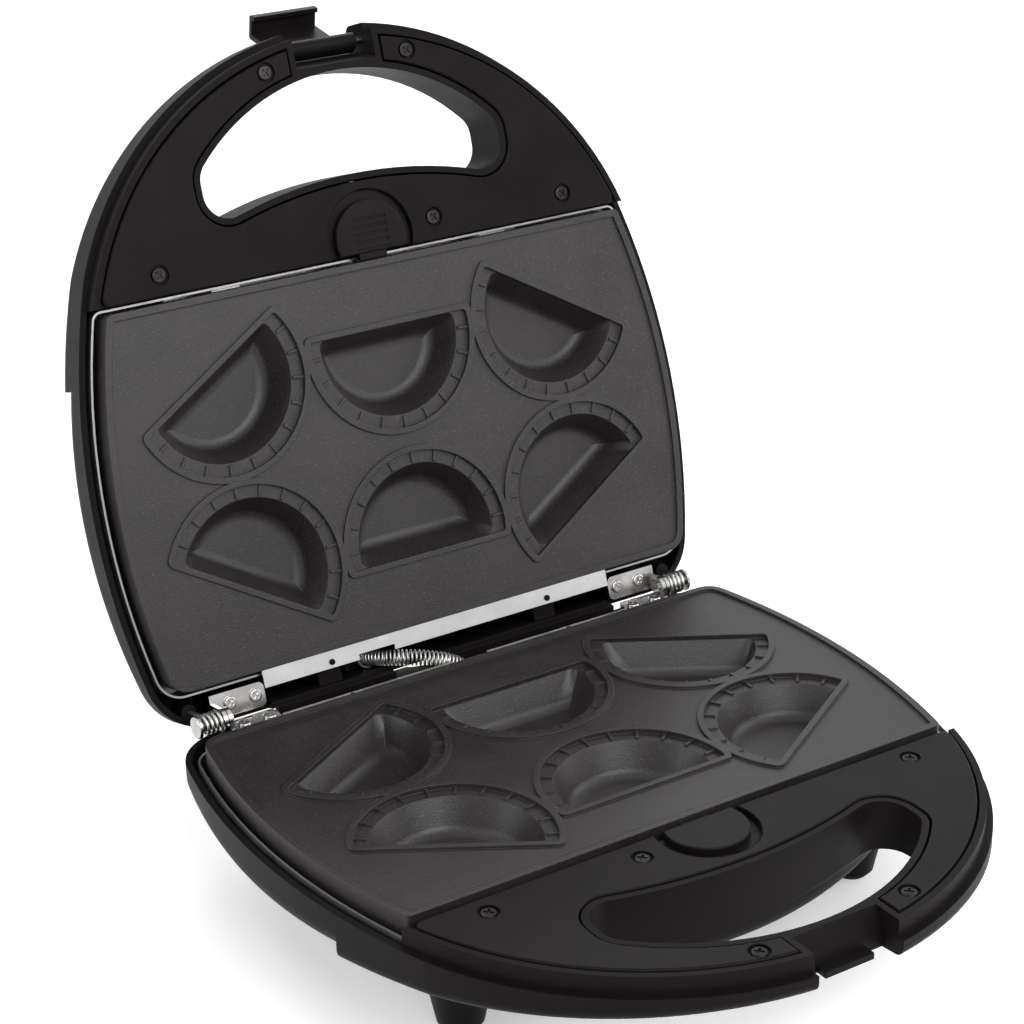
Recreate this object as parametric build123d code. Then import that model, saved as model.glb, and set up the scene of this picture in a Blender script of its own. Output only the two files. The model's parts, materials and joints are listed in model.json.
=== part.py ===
from build123d import *
import os
from math import cos, pi, radians, sin, sqrt

# Electric empanada maker, lid open.
# Each half is drawn closed, as the base: X to the right seen from the front, the front towards -Y,
# the plate's rear edge at y = 0 and the parting plane at z = 0. The lid half is the same drawing
# turned over about the Y axis and swung open about the hinge.
# All lengths are in millimetres.

# Cooking plate
plate_depth = 143.8
plate_half_width = 125.0
plate_widest_y = -66.0
plate_side_radius = 277.0
plate_front_corner = 2.5
plate_rear_corner = 8.0
plate_skirt_height = 11.0
plate_thickness = 3.0
plate_skirt_wall = 2.6
plate_rim_width = 2.8
plate_field_drop = 1.1
parting_gap = 0.3

# Half-moon cavities
cavity_chord = 74.0
cavity_reach = 45.0
cavity_tip_radius = 3.0
ridge_width = 2.4
ledge_drop = 2.0
ledge_width = 5.0
bowl_depth = 12.0
bowl_slope = 27.0
bowl_floor_radius = 5.0
crimp_count = 11
crimp_width = 1.2
crimp_height = 0.8
middle_front_y = -119.8
middle_rear_y = -24.6
outer_x = 78.5
outer_front_y = -116.3
outer_rear_y = -28.9
outer_turn = 31.0

# Housing
wall = 2.5
snug_gap = 0.02
running_gap = 0.05
side_reach = 7.0
rear_wall_y = 16.5
rear_lip_drop = 5.0
rear_lip_half_width = 78.0
rear_corner_radius = 24.0
rim_drop = 8.5
dome_depth = 52.0
dome_radius = 320.0
dome_centre_y = -65.0
dome_front_y = -178.0
dome_front_radius = 166.3
shoulder_radius = 8.0
handle_centre_y = -109.4
handle_radius = 123.8
handle_flare = 2.6
handle_top_drop = 1.8
handle_rear_y = -146.4
handle_join_y = -118.0
handle_blend_y = -130.0
handle_edge_radius = 4.0
base_handle_depth = 15.0
lid_handle_depth = 23.0
handle_depth_at_join = 26.5

# Finger slot
slot_front_y = -218.0
slot_front_radius = 88.0
slot_rear_y = -178.0
slot_rear_radius = 190.0
slot_half_length = 66.0
slot_end_radius = 10.0

# Latch notch
notch_half_width = 17.4
notch_foot_y = -224.5
catch_ledge_reach = 4.6
catch_ledge_top_drop = 13.0
catch_ledge_height = 2.4

# Handle cover
cover_drop = 1.2
cover_thickness = 2.2
cover_gap = 0.6
cover_groove = 0.7

# Screws
cover_screw_head_radius = 2.9
cover_screw_shank_radius = 1.4
cover_screw_length = 10.0
screw_recess_radius = 3.9
screw_recess_depth = 1.2
screw_head_height = 1.0
screw_clearance = 0.15
boss_radius = 4.0
corner_screw = (89.9, -154.4)
notch_screw = (31.0, -221.2)
mid_screw = (-29.2, -155.4)

# Release button
button_radius = 15.3
button_centre_y = -152.0
button_recess_radius = 18.8
button_recess_y = -152.5
button_top_drop = 0.35
button_travel = 3.6
button_play = 0.3
button_rear_y = -147.0
button_flange_thickness = 1.8
button_flange_half_width = 19.5
button_flange_front_y = -171.0
button_rib_depth = 0.45
button_rib_count = 5
nose_half_width = 6.0
nose_reach = 2.6
nose_gap = 0.4
nose_start_z = -5.2
nose_rise = 0.75
lug_bottom = -6.4
button_spring_radius = 2.4
button_spring_wire = 0.6
button_spring_curls = 5
button_spring_drop = 9.8
nose_top_drop = 1.6
button_tab_y = -166.0
button_tab_thickness = 1.6

# Pan, rail and heating element
pan_sheet = 0.8
pan_gap = 3.0
pan_rim_drop = 7.0
pan_depth = 27.0
pan_clearance = 1.9
pan_pocket_gap = 0.4
pan_front_y = -145.6
rest_tab_width = 12.0
rest_tab_reach = 4.6
front_rest_x = 60.0
rear_rest_x = 40.0
rail_drop = 4.0
rail_sheet = 1.0
rail_front_y = 0.5
rail_rear_y = 7.6
rail_half_length = 79.7
rail_post_x = 50.0
rail_post_width = 10.0
rail_peg_radius = 1.2
rail_peg_y = 5.25
rail_relief_half_width = 8.0
rail_relief_depth = 2.2
tongue_x = 75.5
tongue_width = 8.0
tongue_reach = 2.4
tongue_play = 0.6
element_radius = 3.2
element_half_width = 92.0
element_front_y = -126.0
element_rear_y = -17.0
element_dip_y = -80.0
element_bend = 17.0
element_gap = 0.3
element_pin_drop = 36.0
element_pin_bend = 5.5
element_end_x = 15.0
element_front_x = 30.0
element_hole_gap = 0.4
clip_width = 8.0
clip_sheet = 0.8
clip_foot = 6.0
side_clip = (92.0, -72.0)
front_clip = (44.0, -126.0)
pan_boss_radius = 5.0
pan_boss = (58.0, -30.0, -112.0)

# Hinge
hinge_y = 13.1
hinge_z = -2.3
lid_open_angle = 107.75
hinge_pin_radius = 2.5
hinge_running_gap = 0.06
bracket_sheet = 1.6
bracket_inner_x = 80.0
bracket_outer_x = 101.0
bracket_front_y = 4.6
bracket_rear_y = 14.2
bracket_drop = 4.5
hinge_post_inset = 1.2
knuckle_radius = 4.4
ear_gap = 0.4
hinge_head_radius = 4.5
hinge_head_thickness = 1.4
hinge_spring_radius = 3.9
hinge_spring_wire = 1.2
hinge_spring_pitch = 1.9
hinge_spring_curls = 3
hinge_spring_gap = 0.4
spring_leg_drop = 12.5
spring_post_radius = 3.0
hinge_screw_head_radius = 2.6
hinge_screw_x = (84.2, 95.0)
hinge_screw_y = 9.2
hinge_screw_length = 9.0

# Latch
latch_pivot_y = -228.4
latch_pivot_z = 12.5
latch_pin_radius = 1.5
latch_half_width = 14.3
latch_barrel_radius = 3.3
latch_sheet = 2.0
latch_face = 6.3
latch_drop = 32.2
latch_hook_reach = 9.9
latch_open_angle = 153.0
latch_lip = 1.8
latch_lip_height = 3.7
latch_ledge_half_width = 10.0

# Feet
foot_x = 86.4
front_foot_y = -129.0
rear_foot_y = -6.0
foot_bottom_drop = 61.0
leg_top_radius = 15.0
leg_bottom_radius = 8.5
pad_radius = 7.0
pad_height = 4.0
pad_recess = 1.5
leg_floor = 2.5

# Conduit between the halves
conduit_radius = 3.3
conduit_wire = 0.8
conduit_curls = 24
conduit_y = 9.6
conduit_base_x = 4.0
conduit_lid_x = 30.0
conduit_mouth_drop = 14.0
conduit_inside = 7.0
conduit_pull = 12.0
base_notch_x = -12.5
lid_notch_x = 20.0
conduit_notch_half_width = 13.5
conduit_notch_drop = 9.0
ferrule_wall = 0.9
ferrule_length = 14.0
ferrule_play = 0.15
ferrule_lip = 1.2
clamp_top_drop = 20.0
clamp_width = 15.0

# Inner parts
thermostat_radius = 9.0
thermostat_height = 7.0
fuse_radius = 2.4
fuse_length = 16.0
block_size = (34.0, 18.0, 11.0)
block_bottom_drop = 41.0
block_ways = 3
thermostat_place = (0.0, -58.0)
fuse_place = (30.0, -58.0)
block_place = (-44.0, -72.0)
inlet_x = -62.0
inlet_drop = 20.0
inlet_radius = 5.0
inlet_wall = 1.8
inlet_flange = 2.4
inlet_flange_thickness = 2.0
lamp_x = 13.0
lamp_y = -131.0
lamp_radius = 4.0
lamp_rise = 1.5
lamp_play = 0.1
lamp_flange = 1.4
lamp_flange_thickness = 1.5
lamp_seat_drop = 40.0
lamp_seat_depth = 14.0
carrier_sheet = 2.0
vent_count = 6
vent_pitch = 9.0
vent_length = 26.0
vent_width = 3.0
vent_y = -84.0

nodes = {}

plate_top = -parting_gap / 2
field_top = plate_top - plate_field_drop
ledge_top = plate_top - ledge_drop
bowl_outer_bottom = ledge_top - bowl_depth - plate_thickness
plate_bottom = plate_top - plate_skirt_height
cover_bottom = -cover_drop - cover_thickness
flange_top = cover_bottom - button_play
flange_bottom = flange_top - button_flange_thickness
bracket_bottom = -bracket_drop - bracket_sheet
element_z = bowl_outer_bottom - element_gap - element_radius
pan_floor = -pan_depth + pan_sheet
foot_socket_z = -foot_bottom_drop + pad_height
spring_x = bracket_outer_x + ear_gap + bracket_sheet + hinge_spring_gap + hinge_spring_wire / 2
spring_turns = hinge_spring_curls + lid_open_angle / 360
spring_end_x = spring_x + hinge_spring_pitch * spring_turns


# Plan shapes shared by plate, pan and housing
def bowed(extra):
    """Area between the two bowed sides, moved out by extra."""
    offset = plate_side_radius - plate_half_width
    reach = plate_side_radius + extra
    return Pos(offset, plate_widest_y) * Circle(reach) & Pos(-offset, plate_widest_y) * Circle(reach)


def strip(y_low, y_high):
    return Pos(0, (y_low + y_high) / 2) * Rectangle(600, y_high - y_low)


def rounded(plan, rear, front=0.0):
    """Rounds the rear corners of a plan, and its front ones."""
    ends = plan.vertices().group_by(Axis.Y)
    plan = fillet(ends[-1], rear)
    return fillet(plan.vertices().group_by(Axis.Y)[0], front) if front else plan


def plate_plan(inset):
    plan = bowed(-inset) & strip(-plate_depth + inset, -inset)
    return rounded(plan, max(plate_rear_corner - inset, 1), max(plate_front_corner - inset, 1))


def prism(plan, low, high):
    """Straight block over a plan, from low to high."""
    return extrude(Pos(0, 0, low) * plan, high - low)


# Cooking plate
def half_moon(chord_inset=0.0, arc_inset=0.0, tip=cavity_tip_radius):
    """Half-moon with its chord on the X axis, its arc towards +Y."""
    radius = (cavity_chord ** 2 / 4 + cavity_reach ** 2) / (2 * cavity_reach)
    plan = Pos(0, cavity_reach - radius) * Circle(radius - arc_inset) & strip(chord_inset, 200)
    return fillet(plan.vertices(), tip)


def cavity_places():
    yield Pos(0, middle_front_y)
    yield Pos(0, middle_rear_y) * Rot(0, 0, 180)
    for side in (-1, 1):
        yield Pos(side * outer_x, outer_front_y) * Rot(0, 0, side * outer_turn)
        yield Pos(side * outer_x, outer_rear_y) * Rot(0, 0, 180 - side * outer_turn)


def bowl(grow, top, depth):
    """Bowl of one cavity, grown outwards by grow, from top down by depth."""
    arc_inset = ridge_width + ledge_width - grow
    plan = half_moon(ridge_width - grow, arc_inset, cavity_tip_radius + grow)
    return extrude(Pos(0, 0, top) * plan, -depth, taper=bowl_slope)


def crimps():
    """Radial ridges on the ledge of one cavity."""
    radius = (cavity_chord ** 2 / 4 + cavity_reach ** 2) / (2 * cavity_reach)
    centre = cavity_reach - radius
    outer = radius - ridge_width
    bars = Sketch()
    for number in range(crimp_count):
        turn = 90 + (number - (crimp_count - 1) / 2) * 190 / crimp_count
        bars += Pos(0, centre) * Rot(0, 0, turn) * Pos(outer - ledge_width / 2 + 0.3) \
            * Rectangle(ledge_width - 0.6, crimp_width)
    return prism(bars, ledge_top - 0.5, ledge_top + crimp_height)


def make_plate():
    body = prism(plate_plan(0), plate_top - plate_skirt_height, plate_top)
    body -= prism(plate_plan(plate_rim_width), field_top, 5)
    body -= prism(plate_plan(plate_skirt_wall), -40, field_top - plate_thickness)
    for place in cavity_places():
        body += place * prism(half_moon(), field_top - 1, plate_top)
        body += place * bowl(plate_thickness, field_top - 0.5, field_top - 0.5 - bowl_outer_bottom)
    for place in cavity_places():
        inside = bowl(0, ledge_top, bowl_depth)
        inside = fillet(inside.faces().sort_by(Axis.Z)[0].edges(), bowl_floor_radius)
        inside += prism(half_moon(ridge_width, ridge_width, 1.5), ledge_top, 5)
        body -= place * (inside - crimps())
    for side in (-1, 1):
        slot = Box(tongue_width + 2 * tongue_play, 2 * plate_skirt_wall + 0.4, rail_sheet + 2 * tongue_play)
        body -= Pos(side * tongue_x, 0, -rail_drop - rail_sheet / 2) * slot
    return body + make_lug()


def nose_slope(y):
    """Height of the sloping underside of the catch's nose."""
    return nose_start_z + nose_rise * (y - button_rear_y + 0.5)


def make_lug():
    """Wedge at the plate's front edge that the catch holds down."""
    front = button_rear_y + 0.8
    back = -plate_depth + 0.5
    outline = [(front, lug_bottom), (back, lug_bottom), (back, nose_slope(back) - nose_gap),
               (front, nose_slope(front) - nose_gap)]
    return extrude(Plane.YZ * make_face(Polyline(*outline, close=True)), nose_half_width + 1, both=True)


# Housing
def housing_plan(extra):
    plan = bowed(side_reach + extra) & strip(-300, rear_wall_y + extra)
    plan &= Pos(0, handle_centre_y) * Circle(handle_radius + handle_flare + extra) + strip(handle_blend_y, 300)
    return fillet(plan.vertices().group_by(Axis.Y)[-1], rear_corner_radius + extra)


def dome(extra, top):
    """Main bowl of the housing, up to the height top."""
    front = Pos(0, dome_front_y + dome_front_radius) * Circle(dome_front_radius + extra)
    block = prism(housing_plan(extra) & front, -80, top)
    ball = Rot(90, 0, 0) * Sphere(dome_radius + extra)
    block &= Pos(0, dome_centre_y, dome_radius - dome_depth) * ball
    return fillet(block.faces().sort_by(Axis.Z)[0].edges(), shoulder_radius + extra)


def handle_side(extra, front_depth, top, rear_y):
    """Side view of the handle frame, as a block right across it."""
    slope = (handle_depth_at_join - front_depth) / (handle_join_y - handle_centre_y + handle_radius)
    low_front = -front_depth - extra + slope * 10
    low_rear = -handle_depth_at_join - extra - slope * (rear_y - handle_join_y)
    outline = [(-300, top), (rear_y, top), (rear_y, low_rear),
               (handle_centre_y - handle_radius - 10, low_front), (-300, low_front)]
    return extrude(Plane.YZ * make_face(Polyline(*outline, close=True)), 200, both=True)


def handle_frame(extra, front_depth):
    """Handle frame without its slot and notch."""
    rim = prism(Pos(0, handle_centre_y) * Circle(handle_radius + extra) & strip(-300, handle_rear_y),
                -40, -handle_top_drop)
    skirt = prism(housing_plan(extra) & strip(-300, handle_join_y), -40, -rim_drop)
    return (rim + skirt) & handle_side(extra, front_depth, 10, handle_join_y)


def slot_plan(extra):
    """Bean-shaped finger slot, moved out by extra."""
    front = Pos(0, slot_front_y + slot_front_radius) * Circle(slot_front_radius + extra)
    rear = Pos(0, slot_rear_y + slot_rear_radius) * Circle(slot_rear_radius - extra)
    plan = (front - rear) & Rectangle(2 * (slot_half_length + extra), 900)
    return fillet(plan.vertices(), slot_end_radius + extra)


def notch_plan(extra):
    """Latch notch in the front of the handle, seen from above."""
    width = 2 * (notch_half_width + extra)
    return Pos(0, slot_front_y) * Rectangle(width, 60, align=(Align.CENTER, Align.MAX))


def notch_tool(front_depth):
    """What the latch notch takes away, with its rounded floor."""
    start = (slot_front_y - wall, -handle_top_drop)
    middle = (notch_foot_y + 1.6, -handle_top_drop - front_depth * 0.4)
    end = (notch_foot_y, -front_depth - 3)
    side = Line((start[0], 20), start) + ThreePointArc(start, middle, end)
    side += Polyline(end, (-300, end[1]), (-300, 20), (start[0], 20))
    return extrude(Plane.YZ * make_face(side), notch_half_width, both=True)


def pair(place):
    """A place and its mirror image across the middle."""
    return [Pos(side * place[0], place[1]) for side in (-1, 1)]


def cover_screw_places():
    return pair(corner_screw) + pair(notch_screw) + [Pos(*mid_screw)]


def pan_screw_places():
    return pair((pan_boss[0], pan_boss[1])) + pair((pan_boss[0], pan_boss[2]))


def foot_places():
    return pair((foot_x, front_foot_y)) + pair((foot_x, rear_foot_y))


def hinge_screw_places():
    return [place for x in hinge_screw_x for place in pair((x, hinge_screw_y))]


def bore(place, radius, low, high):
    """Round rod or hole along Z at a place."""
    return place * prism(Circle(radius), low, high)


def rounded_handle(outer):
    """Rounds the lower outside edge of the handle frame."""
    low = [edge for edge in outer.edges()
           if edge.bounding_box().min.Y < -150 and edge.bounding_box().max.Z < -rim_drop - 3
           and edge.center().Y < handle_join_y - 6
           and sqrt(edge.center().X ** 2 + (edge.center().Y - handle_centre_y) ** 2) > 90]
    return fillet(low, handle_edge_radius)


def shell_hollow(front_depth, post_x, conduit_x):
    """Inside of one housing, with its bosses and ribs left standing."""
    partition = handle_rear_y - wall
    rim_inside = Pos(0, handle_centre_y) * Circle(handle_radius - wall)
    side_walls = prism(housing_plan(-wall) & strip(handle_rear_y, handle_join_y), -40, 5)
    below_rim = prism(housing_plan(-wall) & strip(-300, partition), -40, -rim_drop - wall)
    below_cover = prism(rim_inside & strip(-300, partition), -40, 5)
    hollow = (side_walls + below_rim + below_cover) & handle_side(-wall, front_depth, 5, handle_join_y)
    hollow += dome(-wall, 5) & prism(strip(handle_rear_y, 300), -80, 5)
    hollow += dome(-wall, -rim_drop - wall) & prism(strip(-300, partition), -80, 5)
    hollow += prism(rim_inside & strip(partition - 1, handle_rear_y), cover_bottom, 5)
    hollow += pan_form(pan_pocket_gap, -pan_rim_drop)
    standing = [prism(slot_plan(wall), -80, 5), prism(notch_plan(wall), -80, 5)]
    standing += [bore(place, boss_radius, -80, cover_bottom) for place in cover_screw_places()]
    standing += [bore(place, pan_boss_radius, -80, -pan_depth) for place in pan_screw_places()]
    standing += [prism(plan, -80, -rim_drop) for plan in post_plans()]
    standing += [bore(place, spring_post_radius, -80, -rim_drop) for place in pair((post_x, leg_y()))]
    clamp = Pos(conduit_x, (conduit_y + rear_wall_y) / 2 - 1.5) * Rectangle(clamp_width, rear_wall_y - conduit_y + 5)
    return hollow - (standing + [prism(clamp, -80, -clamp_top_drop)])


def leg_y():
    """Where the straight legs of the hinge springs stand."""
    return hinge_y - hinge_spring_radius


def post_plans():
    """Posts under the hinge brackets and the rail, seen from above."""
    depth = rear_wall_y - wall - bracket_front_y - hinge_post_inset + 0.5
    width = bracket_outer_x - bracket_inner_x - 2 * hinge_post_inset - bracket_sheet
    corner = (bracket_inner_x + hinge_post_inset, bracket_front_y + hinge_post_inset)
    plans = [place * Rectangle(width, depth, align=(Align.CENTER, Align.MIN))
             for place in pair((corner[0] + width / 2, corner[1]))]
    depth = rear_wall_y - wall - pan_gap - 0.6
    plans += [place * Rectangle(rail_post_width, depth, align=(Align.CENTER, Align.MIN))
              for place in pair((rail_post_x, pan_gap + 0.8))]
    return plans


def raised_posts():
    """Tops of the hinge and rail posts above the rim."""
    plans = post_plans()
    tops = [prism(plan, -rim_drop, bracket_bottom) for plan in plans[:2]]
    tops += [prism(plan & strip(-9, rail_rear_y), -rim_drop, -rail_drop - rail_sheet) for plan in plans[2:]]
    pegs = pair((rail_post_x, rail_peg_y))
    tops += [bore(place, rail_peg_radius, -rail_drop - 2, -rail_drop + 0.5) for place in pegs]
    return tops


def make_shell(front_depth, post_x, conduit_x, notch_x, legs):
    """Hollow moulding shared by both halves, open towards the plate."""
    outer = rounded_handle(dome(0, -rim_drop) + handle_frame(0, front_depth))
    lip = Pos(0, rear_wall_y - wall / 2) * Rectangle(2 * rear_lip_half_width, wall)
    hollow = shell_hollow(front_depth, post_x, conduit_x)
    if legs:
        outer += [place * leg(0) for place in foot_places()]
        hollow += [place * leg(-wall) for place in foot_places()]
    shell = outer - hollow + prism(lip, -rim_drop, -rear_lip_drop)
    hole = cover_screw_shank_radius + running_gap
    cuts = [prism(slot_plan(0), -80, 5), notch_tool(front_depth)]
    cuts += [bore(place, hole, cover_bottom - cover_screw_length, 0) for place in cover_screw_places()]
    cuts += [bore(place, hole, -pan_depth - cover_screw_length, -pan_depth) for place in pan_screw_places()]
    play = button_flange_half_width + button_play
    cuts += [Pos(0, handle_rear_y - wall / 2) * Box(2 * play, wall + 2, 2 * (button_play - flange_bottom))]
    notch = Pos(notch_x, rear_wall_y) * Rectangle(2 * conduit_notch_half_width, 3 * wall)
    cuts += [prism(notch, -conduit_notch_drop, 0)]
    cuts += [bore(Pos(conduit_x, conduit_y), ferrule_radius() + snug_gap, -conduit_mouth_drop - ferrule_length, 0)]
    leg_hole = hinge_spring_wire / 2 + running_gap
    cuts += [bore(place, leg_hole, -spring_leg_drop - 0.5, 0) for place in pair((post_x, leg_y()))]
    shell = shell - cuts + raised_posts()
    return shell - [bore(place, hole, bracket_bottom - hinge_screw_length, 0) for place in hinge_screw_places()]


def leg(extra):
    """Conical leg, or with a negative extra the hollow inside it."""
    bottom = foot_socket_z - pad_recess + (leg_floor + pad_recess if extra < 0 else 0)
    height = -dome_depth / 2 - bottom
    cone = Cone(leg_bottom_radius + extra, leg_top_radius + extra, height,
                align=(Align.CENTER, Align.CENTER, Align.MIN))
    return Pos(0, 0, bottom) * cone


def dome_height(x, y):
    """Height of the outside of the bowl over a point."""
    return dome_radius - dome_depth - sqrt(dome_radius ** 2 - x ** 2 - (y - dome_centre_y) ** 2)


def make_base_housing():
    shell = make_shell(base_handle_depth, spring_x, conduit_base_x, base_notch_x, True)
    ledge_y = notch_foot_y + 1.5
    ledge = Box(2 * latch_ledge_half_width, catch_ledge_reach + 1.5, catch_ledge_height,
                align=(Align.CENTER, Align.MAX, Align.MAX))
    block_stand = Rectangle(block_size[0], block_size[1])
    stand = Pos(*block_place) * prism(block_stand, dome_height(*block_place) + 1, -block_bottom_drop)
    shell += [Pos(0, ledge_y, -catch_ledge_top_drop) * ledge, stand]
    cuts = [bore(place, pad_radius + snug_gap, -80, foot_socket_z) for place in foot_places()]
    inlet = Cylinder(inlet_radius + snug_gap, 30, rotation=(90, 0, 0))
    cuts += [Pos(inlet_x, rear_wall_y, -inlet_drop) * inlet]
    slot = SlotOverall(vent_length, vent_width, rotation=90)
    places = [Pos((number - (vent_count - 1) / 2) * vent_pitch, vent_y) for number in range(vent_count)]
    cuts += [place * prism(slot, -80, -block_bottom_drop) for place in places]
    return shell - cuts


def lamp_places():
    return pair((lamp_x, lamp_y))


def make_lid_housing():
    shell = make_shell(lid_handle_depth, spring_end_x, conduit_lid_x, lid_notch_x, False)
    seat = Rectangle(2 * lamp_x + lamp_seat_depth, lamp_seat_depth)
    shell += (Pos(0, lamp_y) * prism(seat, -80, -lamp_seat_drop)) & dome(-1, 5)
    cuts = [bore(place, lamp_radius + lamp_play, -80, 0) for place in lamp_places()]
    pin = Cylinder(latch_pin_radius + snug_gap, 2 * (notch_half_width + wall - 0.5),
                   rotation=(0, 90, 0))
    cuts += [Pos(0, latch_pivot_y, -latch_pivot_z) * pin]
    return shell - cuts


# Handle cover
def make_cover():
    outline = Pos(0, handle_centre_y) * Circle(handle_radius - wall - cover_groove) & strip(-300, handle_rear_y)
    outline = fillet(outline.vertices(), 3.0)
    outline -= slot_plan(wall + cover_groove)
    outline -= notch_plan(wall + cover_groove)
    outline -= Pos(0, button_recess_y) * Circle(button_recess_radius)
    cover = prism(outline, cover_bottom, -cover_drop)
    cover = fillet(cover.faces().sort_by(Axis.Z)[-1].edges(), cover_gap)
    cuts = []
    for place in cover_screw_places():
        cuts += [bore(place, screw_recess_radius, -cover_drop - screw_recess_depth, 0)]
        cuts += [bore(place, cover_screw_shank_radius + screw_clearance, -40, 0)]
    return cover - cuts


# Screws
def screw(head_radius, shank_radius, length, head_height=screw_head_height):
    """Cross-head screw standing on z = 0, shank down."""
    head = fillet(Cylinder(head_radius, head_height, align=(Align.CENTER, Align.CENTER, Align.MIN))
                  .faces().sort_by(Axis.Z)[-1].edges(), head_height * 0.6)
    slot = Box(head_radius * 1.2, head_radius * 0.28, head_height * 1.2)
    body = head - [Pos(0, 0, head_height) * Rot(0, 0, turn) * slot for turn in (45, 135)]
    return body + bore(Pos(0, 0), shank_radius, -length, 0.1)


def screw_group(places, height, head_radius, length):
    one = screw(head_radius, cover_screw_shank_radius, length)
    return Compound([place * Pos(0, 0, height) * one for place in places])


# Release button
def make_button(rib_count):
    disc = Pos(0, button_centre_y) * Circle(button_radius) & strip(-300, button_rear_y)
    disc = fillet(disc.vertices(), 1.0)
    body = prism(disc, flange_top - 0.5, -button_top_drop)
    body = fillet(body.faces().sort_by(Axis.Z)[-1].edges(), 0.6)
    flange = Rectangle(2 * button_flange_half_width, button_rear_y - button_flange_front_y)
    flange = Pos(0, (button_rear_y + button_flange_front_y) / 2) * flange
    flange = fillet(flange.vertices().group_by(Axis.Y)[0], 8.0)
    body += prism(flange, flange_bottom, flange_top)
    tab_low = -button_spring_drop - button_spring_radius - button_spring_wire
    tab = Box(2 * nose_half_width, button_tab_thickness, flange_bottom - tab_low + 0.5,
              align=(Align.CENTER, Align.MIN, Align.MIN))
    tip = button_rear_y + nose_reach
    start = button_rear_y - 0.5
    nose = Polyline((start, flange_bottom), (start, nose_slope(start)), (tip, nose_slope(tip)),
                    (tip, -nose_top_drop), (start - 2, -nose_top_drop), (start - 2, flange_bottom),
                    close=True)
    body += [Pos(0, button_tab_y, tab_low) * tab, extrude(Plane.YZ * make_face(nose), nose_half_width, both=True)]
    pitch = 2 * button_radius * 0.6 / max(rib_count, 1)
    ribs = [Pos(0, button_centre_y - 2 + (number - (rib_count - 1) / 2) * pitch * 0.8, -button_top_drop)
            * Box(15, 1.1, 2 * button_rib_depth) for number in range(rib_count)]
    return body - ribs if ribs else body


# Springs
def biarc(start, start_way, end, end_way):
    """Two tangent arcs from start to end that keep both directions."""
    across = end - start
    both = start_way + end_way
    spread = 2 * (1 - start_way.dot(end_way))
    root = sqrt(across.dot(both) ** 2 + spread * across.dot(across))
    reach = (root - across.dot(both)) / spread
    middle = (start + end + (start_way - end_way) * reach) * 0.5
    middle_way = ((end - end_way * reach) - (start + start_way * reach)).normalized()
    return [Edge.make_tangent_arc(start, start_way, middle), Edge.make_tangent_arc(middle, middle_way, end)]


def winding(point, turns, first_way=None, last_way=None):
    """Arcs of a coil in half turns, where point(turn) gives its middle line. Its ends can be steered."""
    def way(turn):
        return (point(turn + 0.001) - point(turn - 0.001)).normalized()

    steps = max(round(turns * 2), 2)
    inner = [way(turns * step / steps) for step in range(1, steps)]
    ways = [first_way or way(0)] + inner + [last_way or way(turns)]
    edges = []
    for step in range(steps):
        edges += biarc(point(turns * step / steps), ways[step], point(turns * (step + 1) / steps), ways[step + 1])
    return edges


def wire_tube(edges, wire):
    """Sweeps a round wire along tangent edges."""
    path = Wire(edges)
    section = Plane(origin=path @ 0, z_dir=path % 0) * Circle(wire / 2)
    return sweep(section, path=path)


def coil_gap(point, turns, wire):
    """Least clear gap between neighbouring curls."""
    samples = [point(turns * step / 400) for step in range(401)]
    per_turn = 400 / turns
    gaps = [(one - two).length for index, one in enumerate(samples)
            for two in samples[index + int(per_turn * 0.6):index + int(per_turn * 1.5)]]
    return min(gaps) - wire


def make_button_spring():
    front = slot_rear_y + wall
    length = button_tab_y - front
    inset = button_spring_wire / 2

    def point(turn):
        angle = 2 * pi * turn
        along = front + inset + (length - 2 * inset) * turn / button_spring_curls
        return Vector(button_spring_radius * cos(angle), along,
                      button_spring_radius * sin(angle) - button_spring_drop)

    print("button spring gap", round(coil_gap(point, button_spring_curls, button_spring_wire), 2))
    return wire_tube(winding(point, button_spring_curls), button_spring_wire)


def make_hinge_spring():
    """Torsion spring round the right pin, wound for the lid open."""
    def point(turn):
        angle = pi - 2 * pi * turn
        return Vector(spring_x + hinge_spring_pitch * turn, hinge_y + hinge_spring_radius * cos(angle),
                      hinge_z + hinge_spring_radius * sin(angle))

    print("hinge spring gap", round(coil_gap(point, spring_turns, hinge_spring_wire), 2))
    first = point(0)
    last = point(spring_turns)
    first_way = Vector(0, 0, 1)
    opened = radians(lid_open_angle)
    last_way = Vector(0, sin(opened), cos(opened))
    base_leg = Edge.make_line(first - first_way * (spring_leg_drop + hinge_z), first)
    lid_leg = Edge.make_line(last, last + last_way * (spring_leg_drop - hinge_z))
    edges = winding(point, spring_turns, first_way, last_way)
    return wire_tube([base_leg] + edges + [lid_leg], hinge_spring_wire)


# Pan, rail and heating element
def pan_form(extra, top):
    """Solid form of the pan, shrunk by a negative extra."""
    rear = pan_gap + extra
    plan = bowed(pan_gap + extra) & strip(pan_front_y - extra, rear)
    plan = rounded(plan, plate_rear_corner + rear, 4.0 + extra)
    block = prism(plan, -pan_depth - extra, top)
    ball = Rot(90, 0, 0) * Sphere(dome_radius - wall - pan_clearance + extra)
    return block & Pos(0, dome_centre_y, dome_radius - dome_depth) * ball


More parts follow.
